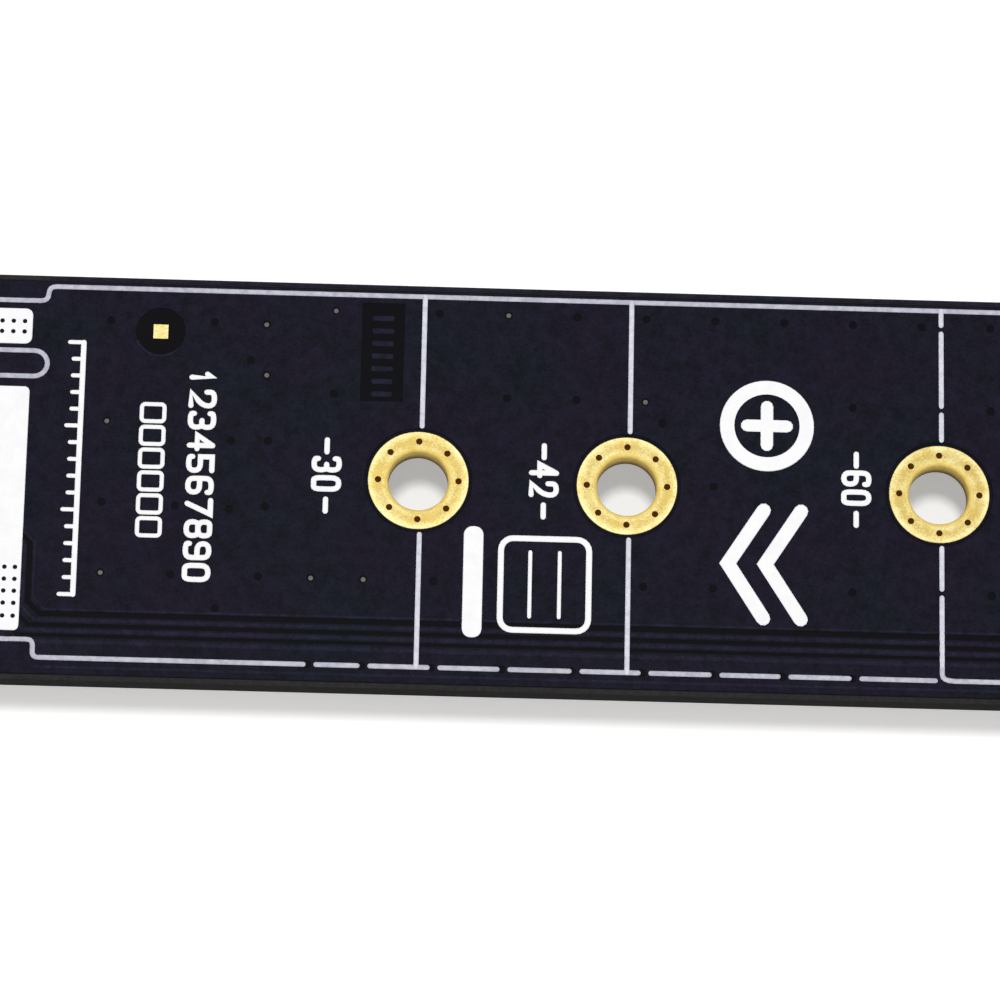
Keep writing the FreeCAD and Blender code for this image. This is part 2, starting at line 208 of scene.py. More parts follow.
def at(x, y):
    """A place on the board, measured from the centre of the first drive hole."""
    return (hole_x + x, axis_y + y)


def arc(x, y, radius, start, end, steps):
    """Points along an arc, angles in degrees."""
    turns = [math.radians(start + (end - start) * n / steps) for n in range(steps + 1)]
    return [(x + radius * math.cos(turn), y + radius * math.sin(turn)) for turn in turns]


def disc(x, y, radius, steps):
    """Points round a circle, in so many steps."""
    return arc(x, y, radius, 0, 360, steps)[:-1]


def rounded_box(x0, x1, y0, y1, left, right=None):
    """A rectangle with its left and right pairs of corners rounded, as counterclockwise points."""
    right = left if right is None else right
    corners = [
        (x0 + left, y0 + left, left, 180), (x1 - right, y0 + right, right, 270),
        (x1 - right, y1 - right, right, 0), (x0 + left, y1 - left, left, 90),
    ]
    points = []
    for x, y, radius, start in corners:
        points += arc(x, y, radius, start, start + 90, 5) if radius > 0 else [(x, y)]
    return points


def band(path, width):
    """The outline of a strip of even width along a path."""
    sides = ([], [])
    for before, (x, y), after in zip(path[:1] + path, path, path[1:] + path[-1:]):
        nx, ny = 0.0, 0.0
        for (ax, ay), (bx, by) in ((before, (x, y)), ((x, y), after)):
            length = math.hypot(bx - ax, by - ay)
            if length:
                nx, ny = nx - (by - ay) / length, ny + (bx - ax) / length
        at_end = (x, y) in (path[0], path[-1])
        reach = width / 2 if at_end else width / (nx * nx + ny * ny)
        sides[0].append((x - nx * reach, y - ny * reach))
        sides[1].append((x + nx * reach, y + ny * reach))
    return sides[0] + sides[1][::-1]


def rim_inset(outline, distance):
    """The outline moved sideways by a distance, towards its own inside."""
    turning = sum(x0 * y1 - x1 * y0 for (x0, y0), (x1, y1) in zip(outline, outline[1:] + outline[:1]))
    inward = math.copysign(distance, turning)
    moved = []
    for before, (x, y), after in zip(outline[-1:] + outline, outline, outline[1:] + outline[:1]):
        into, out = math.dist(before, (x, y)), math.dist((x, y), after)
        nx = -(y - before[1]) / into - (after[1] - y) / out
        ny = (x - before[0]) / into + (after[0] - x) / out
        grow = 2 * inward / max(nx * nx + ny * ny, 1.0)
        moved.append((x + nx * grow, y + ny * grow))
    return moved


def bridge(built, first, second):
    """Faces between two closed rows of points."""
    for n in range(len(first)):
        after = (n + 1) % len(first)
        built.faces.new((first[n], first[after], second[after], second[n]))


def mesh_of(built):
    """A mesh with everything that was built."""
    mesh = bpy.data.meshes.new("built")
    built.to_mesh(mesh)
    built.free()
    return mesh


sunk = 0.01
touching, weld = 1e-6, 1e-5


def layer(face, solids, holes, height, slope):
    """A thin layer on one face of the board, from the counterclockwise outlines of its solids and
    holes, with a slope round its top. Its underside is sunk a little, so that no gap shows."""
    outward = 1 if face == back_z else -1
    base, top = face - outward * sunk, face + outward * height
    insets = [slope] * len(solids) + [-slope] * len(holes)
    outlines = solids + holes
    inners = [rim_inset(outline, inset) for outline, inset in zip(outlines, insets)]
    sheet = bmesh.new()
    for z, rims in ((base, outlines), (top, inners)):
        points, loops = [], []
        for rim in rims:
            loops.append(list(range(len(points), len(points) + len(rim))))
            points += [Vector(point) for point in rim]
        flat = geometry.delaunay_2d_cdt(points, [], loops, 1, touching)
        corners = [sheet.verts.new((x, y, z)) for x, y in flat[0]]
        for triangle, inside in zip(flat[2], flat[5]):
            if inside and max(inside) < len(solids):
                sheet.faces.new([corners[n] for n in triangle])
    for outline, inner in zip(outlines, inners):
        levels = ((outline, base), (outline, top - outward * slope), (inner, top))
        rows = [[sheet.verts.new((x, y, z)) for x, y in row] for row, z in levels]
        bridge(sheet, rows[0], rows[1])
        bridge(sheet, rows[1], rows[2])
    bmesh.ops.remove_doubles(sheet, verts=sheet.verts, dist=weld)
    bmesh.ops.recalc_face_normals(sheet, faces=sheet.faces)
    return mesh_of(sheet)


def piece(name, mesh, finish):
    """Makes an object of a mesh drawn in millimetres and fixes it to the card."""
    mesh.name = name
    mesh.transform(Matrix.Scale(mm, 4))
    made = bpy.data.objects.new(name, mesh)
    bpy.context.scene.collection.objects.link(made)
    mesh.materials.append(finish)
    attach(made, "root")
    return made


copper_height = 0.035
copper_slope = 0.012
copper_inset = 0.35
copper_corner = 0.4
copper_end = board_high.x - copper_inset
copper_low, copper_high = board_low.y + copper_inset, board_high.y - copper_inset
far_corners = arc(copper_end - copper_corner, copper_low + copper_corner, copper_corner, 270, 360, 4)
far_corners += arc(copper_end - copper_corner, copper_high - copper_corner, copper_corner, 0, 90, 4)
root_x = board_low.x + 8.25
neck_half = 10.2
copper_edge = [
    (root_x + 1.1, copper_low), *far_corners, (root_x + 1.1, copper_high),
    (root_x + 0.2, neck_half), (root_x - 0.3, neck_half),
    (root_x - 0.3, -neck_half), (root_x + 0.2, -neck_half),
]
copper_shades = mask_shades(0.0045, 0.0125, 0.5, 0.008)
track_shades = mask_shades(0.0075, 0.0205, 0.5, 0.01)
mask_over_copper = material("mask_over_copper", copper_shades, Specular_IOR_Level=mask_gloss)
# The lighter mask over the tracks, also used for the painted highlights by the marks.
mask_over_tracks_and_highlights = material("mask_over_tracks_and_highlights", track_shades, Specular_IOR_Level=mask_gloss)

run_start, run_end = -4.3, 48.6
run_lead, run_corner = 0.8, 0.7


def long_run(y, width, turn_x):
    """One of the long traces, or the etched gap between two of them. It comes out from under the white
    field, runs down beside it, turns at 45 degrees and follows the board's edge to the far end."""
    path = [(turn_x - run_lead, run_start + run_lead), (turn_x, run_start), (turn_x, y + run_corner),
            (turn_x + run_corner, y), (run_end, y)]
    return band([at(*point) for point in path], width)


long_traces = ((-10.07, 0.3, -23.66), (-9.42, 0.26, -22.99), (-8.8, 0.24, -22.37), (-8.18, 0.16, -21.79))
long_gaps = ((-9.71, 0.22, -23.3), (-9.11, 0.26, -22.68), (-8.45, 0.34, -22.06))
edge_start, edge_end, edge_y, edge_width = -21.6, 49.0, 11.55, 0.2
tracks_and_highlights = [long_run(*trace) for trace in long_traces]
tracks_and_highlights += [band([at(edge_start, side * edge_y), at(edge_end, side * edge_y)], edge_width) for side in (-1, 1)]
windows = [long_run(*gap) for gap in long_gaps]

mark_half, mark_window = 0.425, 1.45
marks_low, marks_high = corners_of("fiducial_marks")
mark_places = [(marks_low.x + mark_half, marks_high.y - mark_half),
               (marks_high.x - mark_half, marks_low.y + mark_half)]
# Painted highlight: a raised arc of the lighter track mask round the front left of each mark's window, on
# that side only.
mark_highlight_width = 0.16
tracks_and_highlights += [band(arc(*place, mark_window, 200, 320, 10), mark_highlight_width) for place in mark_places]

host_key_y = 2.0
host_contact_y = [host_key_y + side * (1.5 + n) for side, count in ((-1, 11), (1, 7)) for n in range(count)]
host_pad_root = -45.5
track_start = host_pad_root + 0.05
track_width = 0.18
tab_via_x, tab_via_stagger = -42.4, 1.1
tab_via_pad, tab_via_bore = 0.3, 0.14
tab_vias = [(tab_via_x + tab_via_stagger * (n % 2), y) for n, y in enumerate(sorted(host_contact_y))]
tracks_and_highlights += [band([(track_start, y), (end, y)], track_width) for end, y in tab_vias]
tracks_and_highlights += [disc(*place, tab_via_pad, 12) for place in tab_vias]
tab_bores = [disc(*place, tab_via_bore, 10) for place in tab_vias]
tab_window_x, tab_window_reach, tab_window_half = -43.6, 0.48, 0.42
for end, y in tab_vias:
    low_y, high_y = y - tab_window_half, y + tab_window_half
    windows.append(rounded_box(tab_window_x, end + tab_window_reach, low_y, high_y, 0.0, 0.4))
windows += [disc(*place, mark_window, 32) for place in mark_places]

peg_x, peg_y, peg_window = -28.4, 9.9, 1.2
ring_window = 3.12
ring_windows = [disc(*place, ring_window, 48) for place in hole_places]
windows += [disc(*at(peg_x, side * peg_y), peg_window, 24) for side in (-1, 1)]
windows += ring_windows

bar_x0, bar_x1, bar_y0, bar_y1 = -3.5, -1.0, 4.65, 10.6
bar_margin, bar_width, bar_pitch = 0.3, 0.32, 0.76
bar_inset, bar_corner = 0.62, 0.12
windows.append([at(bar_x0, bar_y0), at(bar_x1, bar_y0), at(bar_x1, bar_y1), at(bar_x0, bar_y1)])
bars = []
for n in range(7):
    bar_start = bar_y0 + bar_margin + bar_pitch * n
    low_x, low_y = at(bar_x0 + bar_inset, bar_start)
    high_x, high_y = at(bar_x1 - bar_inset, bar_start + bar_width)
    bars.append(rounded_box(low_x, high_x, low_y, high_y, bar_corner))

via_radius = 0.26
via_grid = range(1, 50, 4)
via_places = [(x, 10.05) for x in via_grid] + [(x, 5.05) for x in (5, 9, 13, 25, 33, 37, 45)]
via_places += [(x, -5.95) for x in (-18, -14, -9, -6, -3, 1, 13, 17, 25, 33, 37, 41)]
via_places += [(x, -11.02) for x in (-6.05, -2.98, *via_grid)]
via_places += [
    (-18, 9.1), (-12, 9.15), (-9.85, 6.9), (-5, 5.05), (-10.8, 2.05), (-8.7, 2.1), (-18, 3.05), (-18.1, -1.8),
    (-13.9, -1.9), (-10.8, -2.0), (-8.75, -1.8), (-11.4, -7.9), (-5, 10.05), (14, 3.8), (17, 0.1), (-9, 9.1),
    (-8.9, 6.05), (37, 0.1), (41, -2.0), (-28, 4.0), (-31, -3.0),
]
windows += [disc(*at(x, y), via_radius, 12) for x, y in via_places]

track_height, track_slope = copper_height + 0.008, 0.03
bar_height, bar_slope = 0.03, 0.025
back_tracks_and_highlights = layer(back_z, tracks_and_highlights, tab_bores, track_height, track_slope)
back_bars = layer(back_z, bars, [], bar_height, bar_slope)
back_copper = layer(back_z, [copper_edge], windows, copper_height, copper_slope)
# The tracks and the painted highlights by the marks, in the lighter mask.
piece("back_tracks_and_highlights", back_tracks_and_highlights, mask_over_tracks_and_highlights)
piece("back_copper_sheet", back_copper, mask_over_copper)
piece("back_copper_bars", back_bars, mask_over_tracks_and_highlights)


def via_light_specks(place):
    """Lighter grey-brown spots at some of the vias."""
    spot = place.noise(0.1, 2.0)
    return {
        "Base Color": spot.between(0.3, 0.7).blend((0.035, 0.028, 0.024), (0.11, 0.09, 0.072)),
        "Roughness": 0.3 + 0.3 * spot,
        "Normal": spot.relief(0.01),
    }


# Small lighter grey-brown spots, at these vias only.
speck_vias = [(-9, 9.1), (-5, 10.05), (-8.9, 6.05), (-18, 3.05), (-18, -5.95), (-6, -5.95), (-3, -5.95),
             (5, 10.05), (13, 5.05), (37, -5.95), (-28, 4.0)]
speck_radius, speck_height, speck_slope = 0.15, 0.02, 0.015
speck_discs = [disc(*at(x, y), speck_radius, 10) for x, y in speck_vias]
speck_layer = layer(back_z, speck_discs, [], speck_height, speck_slope)
piece("via_specks", speck_layer, material("via_light_specks", via_light_specks))


# ---- Plated holes, host contacts and fiducial marks --------------------------------------------------
# Copper left clear of the mask and given a thin coat of gold: the rings and walls of the drive holes,
# the pads of the card edge, and the two squares that the placing machine looks for.

def from_hole(place):
    """How far a place is from the axis of the nearest hole, in metres."""
    flat = place.node("VectorMath", {"operation": "MULTIPLY"}, {0: place, 1: (1, 1, 0)})
    nearest = 1.0
    for x, y in hole_places:
        away = flat.node("VectorMath", {"operation": "DISTANCE"}, {0: flat, 1: (x * mm, y * mm, 0)}, 1)
        nearest = away.reckon("MINIMUM", nearest)
    return nearest


def gold_coat(place):
    """Soft gold. Round the holes the middle of the ring, over the small vias, is painted darker as shade."""
    cloud = place.noise(0.9, 3.0, 0.65)
    grain = place.noise(0.07, 2.0)
    away = from_hole(place)
    # Painted shade: a darker band round each hole, across the middle of the ring.
    painted_ring_shade = away.between(1.8 * mm, 2.25 * mm) * (1 - away.between(2.4 * mm, 2.75 * mm))
    tone = (0.6 * cloud + 0.4 * grain).between(0.34, 0.64) - 0.45 * painted_ring_shade
    return {
        "Base Color": tone.blend((0.42, 0.31, 0.085), (0.74, 0.68, 0.36)),
        "Roughness": 0.42 + 0.18 * cloud,
        "Normal": (0.5 * grain + 0.5 * cloud).relief(0.012),
    }


def barrel_gold(place):
    """The wall is a matt coat of gold on drilled glass. Its far end is painted dark brown as shade deep in
    the hole.
    """
    cloud = place.noise(0.5, 3.0, 0.65)
    height = place.along(2)
    # Painted shade: the wall darkens to brown towards the component face, deep in the hole.
    painted_depth_shade = 1 - (height + 0.15 * mm * cloud).between((face_z + 0.4) * mm, (face_z + 1.15) * mm)
    tone = cloud.between(0.3, 0.7).blend((0.84, 0.60, 0.15), (1.0, 0.80, 0.27))
    return {
        "Base Color": painted_depth_shade.blend(tone, (0.16, 0.085, 0.002)),
        "Roughness": 0.5 + 0.2 * cloud,
        "Normal": cloud.relief(0.02),
    }


gold = material("gold_coat", gold_coat, Metallic=1.0)
barrel = material("gold_barrel", barrel_gold, Metallic=0.15, Specular_IOR_Level=0.05)
for node in ("host_contacts_back", "host_contacts_front", "fiducial_marks"):
    finish_cad(node, gold)

ring_low, ring_high = corners_of("plated_hole_30")
ring_radius = (ring_high.x - ring_low.x) / 2
plating = ring_high.z - back_z
hole_radius = 1.725
mouth_round = 0.26
mouth_radius = hole_radius + mouth_round
ring_via_radius = 0.21
ring_via_circle = (hole_radius + ring_radius) / 2
ring_slope, shade_spot_height = 0.02, 0.012
lap = 0.01
turn_steps = 64


def joined(meshes):
    """Several meshes as one."""
    whole = bmesh.new()
    for mesh in meshes:
        whole.from_mesh(mesh)
        bpy.data.meshes.remove(mesh)
    return mesh_of(whole)


def turned(profile, x, y):
    """A closed profile of (radius, height) points, turned round an upright axis."""
    lathe = bmesh.new()
    rows = []
    for n in range(turn_steps):
        turn = math.tau * n / turn_steps
        across, along = math.cos(turn), math.sin(turn)
        rows.append([lathe.verts.new((x + radius * across, y + radius * along, z)) for radius, z in profile])
    for row, following in zip(rows, rows[1:] + rows[:1]):
        bridge(lathe, row, following)
    bmesh.ops.recalc_face_normals(lathe, faces=lathe.faces)
    mesh = mesh_of(lathe)
    mesh.shade_smooth()
    return mesh


shade_spot_meshes = []
for node, (x, y) in zip(hole_nodes, hole_places):
    ring_vias = disc(x, y, ring_via_circle, 8)
    openings = [disc(*place, ring_via_radius, 14) for place in ring_vias]
    openings.append(disc(x, y, mouth_radius, turn_steps))
    rings = []
    mouths = []
    for face, outward in ((back_z, 1), (face_z, -1)):
        rings.append(layer(face, [disc(x, y, ring_radius, turn_steps)], openings, plating, ring_slope))
        curve = arc(mouth_radius, 0, mouth_round, 90, 180, 5)
        mouths.append([(radius, face + outward * (plating - mouth_round + up)) for radius, up in curve])
        # Each small via of a ring is closed by a flat disc, painted dark brown as the shade inside it.
        shade_spot_outlines = [disc(*place, ring_via_radius + lap, 14) for place in ring_vias]
        shade_spot_meshes += [layer(face, [shade_spot_outline], [], shade_spot_height, ring_slope) for shade_spot_outline in shade_spot_outlines]
    wall_back = mouth_radius + lap / 2
    profile = [(wall_back, mouths[0][0][1]), *mouths[0], *mouths[1][::-1], (wall_back, mouths[1][0][1])]
    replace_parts(piece(node + "_rings", joined(rings), gold), node)
    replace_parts(piece(node + "_barrel", turned(profile, x, y), barrel), node)


def via_shadow(place):
    """The small vias of the rings show as dark brown spots of painted shade, in place of the dark inside of
    their holes.
    """
    spot = place.noise(0.06, 2.0)
    return {
        "Base Color": spot.between(0.3, 0.7).blend((0.045, 0.012, 0.001), (0.10, 0.032, 0.003)),
        "Roughness": 0.5 + 0.3 * spot,
    }


# Painted shade for the small vias of the rings.
via_shade_finish = material("via_shade_finish", via_shadow, Specular_IOR_Level=0.01)
piece("ring_via_shade_spots", joined(shade_spot_meshes), via_shade_finish)

mask_gap, ring_overlap = 0.17, 0.05
clearance_height, clearance_slope = 0.006, 0.004
bare_shades = mask_shades(0.003, 0.009, 0.6, 0.012)
bare_laminate = material("bare_laminate", bare_shades, Specular_IOR_Level=mask_gloss)
mask_mouths = [disc(*place, ring_radius + mask_gap, turn_steps) for place in hole_places]
ring_spaces = [disc(*place, ring_radius - ring_overlap, turn_steps) for place in hole_places]
clearance = layer(back_z, mask_mouths, ring_spaces, clearance_height, clearance_slope)
piece("mask_clearance", clearance, bare_laminate)


# ---- White print -------------------------------------------------------------------------------------
# Epoxy ink screened on the mask after it has cured, so it lies over the relief with soft raised edges.
# It outlines each length of drive, with plain numbers, and shows which way a drive goes in.

ink_top = 0.062
ink_step, ink_steps = 0.0004, 23
ink_shift = (0.14, 0.02)
line_width = 0.28
number_width = 0.31
stroke_slope, field_slope, field_rise = 0.05, 0.03, 0.004
digit_gap, digit_curve = 0.16, 0.42
curve_steps = 4
shortest_step = 1e-4
digit_strokes = {
    "0": ["20 40 46 06 00 20"], "1": ["14 26 26 20"], "2": ["04 06 46 43 00 00 40"],
    "3": ["05 06 46 43 23", "23 43 40 00 01"], "4": ["36 02 02 42", "30 36"],
    "5": ["46 06 06 03 03 43 40 00 01"], "6": ["45 46 06 03", "03 43 40 00 03"], "7": ["06 46 46 10"],
    "8": ["26 46 43 03 06 26", "23 43 40 00 03 23"], "9": ["01 00 40 43", "43 03 06 46 43"],
}


def white_ink(place):
    """Thick ink, a little whiter in places, with a fine grain."""
    patch = place.noise(0.7, 3.0, 0.6)
    fine = place.noise(0.07, 2.0)
    return {
        "Base Color": patch.between(0.25, 0.6).blend((0.90, 0.90, 0.92), (0.96, 0.96, 0.97)),
        "Roughness": 0.5 + 0.15 * fine,
        "Normal": (0.5 * fine + 0.5 * patch).relief(0.006),
    }


def thin_ink(dark, light):
    """Ink in a narrow line lets some of the black through."""
    def build(place):
        patch = place.noise(0.35, 3.0, 0.6)
        fine = place.noise(0.07, 2.0)
        shades = (dark, dark, dark + 0.1), (light, light, light + 0.08)
        return {
            "Base Color": patch.between(0.3, 0.65).blend(*shades),
            "Roughness": 0.5 + 0.15 * fine,
            "Normal": (0.5 * fine + 0.5 * patch).relief(0.006),
        }
    return build


full_ink = material("white_ink", white_ink)
line_ink = material("white_ink_thin", thin_ink(0.56, 0.74))
edge_ink = material("white_ink_faint", thin_ink(0.38, 0.56))


def softened(points, radius):
    """The same path with its inner corners turned into curves. A point given twice stays sharp."""
    path = [points[0]]
    for before, corner, after in zip(points, points[1:], points[2:]):
        ends = []
        for other in (before, after):
            length = math.dist(corner, other)
            share = min(radius, length / 2) / length if length else 0
            ends.append(tuple(c + (o - c) * share for c, o in zip(corner, other)))
        if tuple(corner) in ends:
            path.append(tuple(corner))
            continue
        for n in range(curve_steps + 1):
            gone = n / curve_steps
            first, middle, last = (1 - gone) ** 2, 2 * gone * (1 - gone), gone * gone
            path.append(tuple(first * a + middle * c + last * b for a, c, b in zip(ends[0], corner, ends[1])))
    path.append(points[-1])
    steps = zip(path, path[1:])
    return path[:1] + [point for before, point in steps if math.dist(before, point) > shortest_step]


class Print:
    """Gathers the strokes and fields of ink of one face. Each stroke is a hair above the one before,
    so that no two tops lie in one plane."""

    def __init__(self, face, shift=ink_shift, count=0):
        self.face, self.shift, self.count = face, shift, count
        self.outward = 1 if face == back_z else -1
        self.strokes = bmesh.new()
        self.fields, self.gaps = [], []

    def place(self, point):
        return at(point[0] + self.shift[0], point[1] + self.shift[1])

    def ring(self, rim, reach, height):
        """Points at one height. Each stands off its place on the path, on the side it points to."""
        z = self.face + self.outward * height
        return [self.strokes.verts.new((x + nx * reach, y + ny * reach, z)) for x, y, nx, ny in rim]

    def line(self, points, width=line_width, turn=5):
        """One pen stroke with round ends. A path that ends where it starts is closed."""
        path = [self.place(point) for point in points]
        closed = math.dist(path[0], path[-1]) < touching
        ways = []
        for (ax, ay), (bx, by) in zip(path, path[1:]):
            length = math.hypot(bx - ax, by - ay)
            ways.append(((bx - ax) / length, (by - ay) / length))
        sides = ([], [])
        for n, (x, y) in enumerate(path):
            before = ways[n - 1] if n or closed else ways[0]
            after = ways[n % len(ways)] if closed or n < len(ways) else ways[-1]
            nx, ny = -(before[1] + after[1]), before[0] + after[0]
            grow = 2 / max(nx * nx + ny * ny, 1.0)
            sides[0].append((x, y, nx * grow, ny * grow))
            sides[1].append((x, y, -nx * grow, -ny * grow))
        self.count += 1
        top = ink_top + ink_step * (self.count % ink_steps)
        soft = min(stroke_slope, width / 5)
        levels = [(width / 2, -sunk), (width / 2, top - soft / 2), (width / 2 - soft, top)]
        if closed:
            self.close([[self.ring(side[:-1], *level) for level in levels] for side in sides])
            return
        rim = list(sides[0])
        for (x, y), side, (dx, dy) in (
                (path[-1], sides[1][::-1], ways[-1]), (path[0], [], (-ways[0][0], -ways[0][1]))):
            start = math.atan2(dy, dx) + math.pi / 2
            turns = [start - math.pi * n / turn for n in range(1, turn)]
            rim += [(x, y, math.cos(angle), math.sin(angle)) for angle in turns] + side
        rows = [self.ring(rim, *level) for level in levels]
        bridge(self.strokes, rows[0], rows[1])
        bridge(self.strokes, rows[1], rows[2])
        self.fill(path, rows[0], -sunk, turn)
        self.fill(path, rows[2], top, turn)

    def close(self, sides):
        """The faces of a closed stroke: a slope on each side, and the top and the bottom between."""
        for side in sides:
            bridge(self.strokes, side[0], side[1])
            bridge(self.strokes, side[1], side[2])
        bridge(self.strokes, sides[0][2], sides[1][2])
        bridge(self.strokes, sides[0][0], sides[1][0])

    def fill(self, path, row, height, turn):
        """The top or the bottom of an open stroke, from a spine along its middle out to its rim."""
        last = len(path) - 1
        spine = self.ring([(x, y, 0, 0) for x, y in path], 0, height)
        other = [row[len(row) - turn - n] for n in range(last + 1)]
        for n in range(last):
            self.strokes.faces.new((spine[n], spine[n + 1], row[n + 1], row[n]))
            self.strokes.faces.new((spine[n + 1], spine[n], other[n], other[n + 1]))
        ends = (spine[last], row[last:last + turn + 1]), (spine[0], row[len(row) - turn:] + row[:1])
        for hub, fan in ends:
            for first, second in zip(fan, fan[1:]):
                self.strokes.faces.new((hub, first, second))

    def loop(self, outline, width):
        """A stroke all the way round an outline."""
        self.line(outline + outline[:1], width)

    def number(self, text, x, y, height, advance, width=number_width):
        """Digits that read down the board. Their feet are at x, and the first one starts at y."""
        up, along = (height - width) / 6, (advance - width - digit_gap) / 4
        for place, digit in enumerate(text):
            start = y - place * advance - width / 2
            for code in digit_strokes[digit]:
                points = []
                for across, high in code.split():
                    reach = width / 2 + int(high) * up
                    points.append((x + self.outward * reach, start - int(across) * along))
                self.line(softened(points, digit_curve), width, 4)

    def field(self, outline, *gaps):
        """A filled area of ink, with gaps left bare in it."""
        self.fields.append([self.place(point) for point in outline])
        self.gaps += [[self.place(point) for point in gap] for gap in gaps]

    def done(self, name, ink):
        """Makes the pieces: one of all the strokes, and one of the fields where there are any."""
        bmesh.ops.recalc_face_normals(self.strokes, faces=self.strokes.faces)
        piece(name, mesh_of(self.strokes), ink)
        if self.fields:
            fields = layer(self.face, self.fields, self.gaps, ink_top + field_rise, field_slope)
            piece(name + "_fields", fields, ink)


drive_lengths = ("30", "42", "60", "80")
drive_ends = (0, 12, 30, 50)
last_start, last_end = drive_ends[-2:]
print_edge = 11.03
ring_clear = 3.22
tab_x, shoulder_x = -25.9, -21.8
tab_high, tab_low = 10.15, -10.0
notch_high, notch_low, notch_end = 7.13, 5.59, -21.7
notch_middle, notch_half = (notch_high + notch_low) / 2, (notch_high - notch_low) / 2
notch_start, notch_gap = tab_x + 0.2, 0.35

outline = Print(back_z)
outline.line([(notch_start, notch_high), *arc(notch_end - notch_half, notch_middle, notch_half, 90, -90, 10),
              (notch_start, notch_low)])
outline.line(softened([(tab_x, notch_high + notch_gap), (tab_x, tab_high), (shoulder_x, tab_high),
                       (shoulder_x, print_edge), (last_end, print_edge), (last_end, ring_clear)], 0.45))
edge_breaks = (-6.05, -2.98, 1.0, 4.98, 9.08, 13.01, 17.06, 20.99, 25.04)
edge_gap, crossing_gap = 0.36, 0.25
edges = [shoulder_x] + [x + side * edge_gap for x in edge_breaks for side in (-1, 1)] + [last_start - 0.4]
outline.line(softened([(tab_x, notch_low - notch_gap), (tab_x, tab_low), (shoulder_x, tab_low),
                       (shoulder_x, -print_edge), (edges[1], -print_edge)], 0.35))
for start, end in zip(edges[2::2], edges[3::2]):
    outline.line([(start, -print_edge), (end, -print_edge)])

crossings = Print(back_z, count=15)
last_foot = 0.75
last_breaks = (9.9, 5.0, -5.9)
for x in drive_ends[:-1]:
    foot, line_breaks = (last_foot, last_breaks) if x == last_start else (0, ())
    for start, end in ((print_edge, ring_clear), (-ring_clear, foot - print_edge)):
        inner = [y + side * crossing_gap for y in line_breaks if start > y > end for side in (1, -1)]
        stops = [start, *inner, end]
        for high, low in zip(stops[::2], stops[1::2]):
            crossings.line([(x, high), (x, low)])
outline.line(softened([(last_start, last_foot - print_edge), (last_start, -print_edge),
                       (last_end, -print_edge), (last_end, -ring_clear)], 0.7))
outline.done("white_outline", edge_ink)
crossings.done("white_crossings", line_ink)

signs = Print(back_z)
length_start, length_height, length_advance = 1.28, 1.75, 1.14
for length, x in zip(drive_lengths, (-6.3, 6.2, 24.2, 44.2)):
    signs.number(length, x, length_start, length_height, length_advance)
    for y in (2.25, -1.28):
        signs.line([(x + 0.87, y), (x + 0.87, y - 0.72)], number_width)
scale_x, scale_y, scale_length = -19.65, 7.7, 15
signs.line([(scale_x, scale_y), (scale_x, scale_y - scale_length)], number_width)
for n in range(scale_length + 1):
    reach = 0.55 if n % 5 else 0.8
    signs.line([(scale_x, scale_y - n), (scale_x - reach, scale_y - n)], 0.24)
signs.number("1234567890", -13.5, 6.35, 1.65, 1.29)
for n in range(6):
    y = 4.1 - 1.36 * n
    signs.loop(rounded_box(-16.15, -14.85, y - 1.02, y, 0.2), 0.24)
signs.field(rounded_box(2.55, 3.68, -9.2, -2.65, 0.5))
signs.loop(rounded_box(4.7, 9.75, -8.7, -3.3, 0.7), 0.34)
for x in (6.38, 8.07):
    signs.line([(x, -4.1), (x, -7.9)], 0.22)
dial_x, dial_y = 19.9, 3.8
signs.field(disc(dial_x, dial_y, 2.72, 48), disc(dial_x, dial_y, 1.92, 40))
signs.line([(18.75, dial_y), (21.05, dial_y)], 0.72)
signs.line([(dial_x, 4.95), (dial_x, 4.1)], 0.72)
signs.line([(dial_x, 3.5), (dial_x, 2.65)], 0.72)
for x in (17.7, 19.85):
    signs.line([(x + 2.05, -1.25), (x, -4.45), (x + 2.05, -7.65)], 0.82)
field_left, field_right, bare_via = -25.5, -22.65, 0.17
high_vias = [disc(x, y, bare_via, 10) for x in (-23.1, -23.75, -24.4, -25.05) for y in (8.88, 8.25)]
signs.field(rounded_box(field_left, field_right, 7.53, 9.65, 0.1, 0.4), *high_vias)
low_vias = [disc(x, y, bare_via, 10)
            for x in (-23.0, -23.6, -24.2, -24.8) for y in (-5.79, -6.49, -7.19, -7.9, -8.65)]
signs.field(rounded_box(field_left, field_right, -9.49, 4.96, 0.1, 0.3), *low_vias)
signs.done("white_signs", full_ink)


# ---- Drive socket ------------------------------------------------------------------------------------
# One moulding of black glass-filled plastic, with 67 springs pressed into its slots from behind and from
# the front. Two pegs locate it in the board, and a tinned tab at each end is soldered down with it.

def black_moulding(place):
    grain = place.noise(0.08, 3.0, 0.6)
    flow = place.noise(2.5, 2.0)
    return {
        "Base Color": flow.between(0.3, 0.7).blend((0.010, 0.010, 0.011), (0.020, 0.020, 0.021)),
        "Roughness": 0.42 + 0.2 * grain,
        "Normal": (0.7 * grain + 0.3 * flow).relief(0.01),
    }


def gilt_spring(place):
    drawn = place.noise(0.3, 2.0)
    return {
        "Base Color": drawn.between(0.3, 0.7).blend((0.84, 0.58, 0.20), (0.93, 0.72, 0.33)),
        "Roughness": 0.26 + 0.16 * drawn,
        "Normal": drawn.relief(0.004),
    }


def tinned_sheet(place):
    cloud = place.noise(0.5, 3.0, 0.6)
    grain = place.noise(0.05, 2.0)
    return {
        "Base Color": cloud.between(0.3, 0.7).blend((0.62, 0.61, 0.59), (0.78, 0.77, 0.75)),
        "Roughness": 0.3 + 0.25 * cloud,
        "Normal": (0.5 * cloud + 0.5 * grain).relief(0.01),
    }


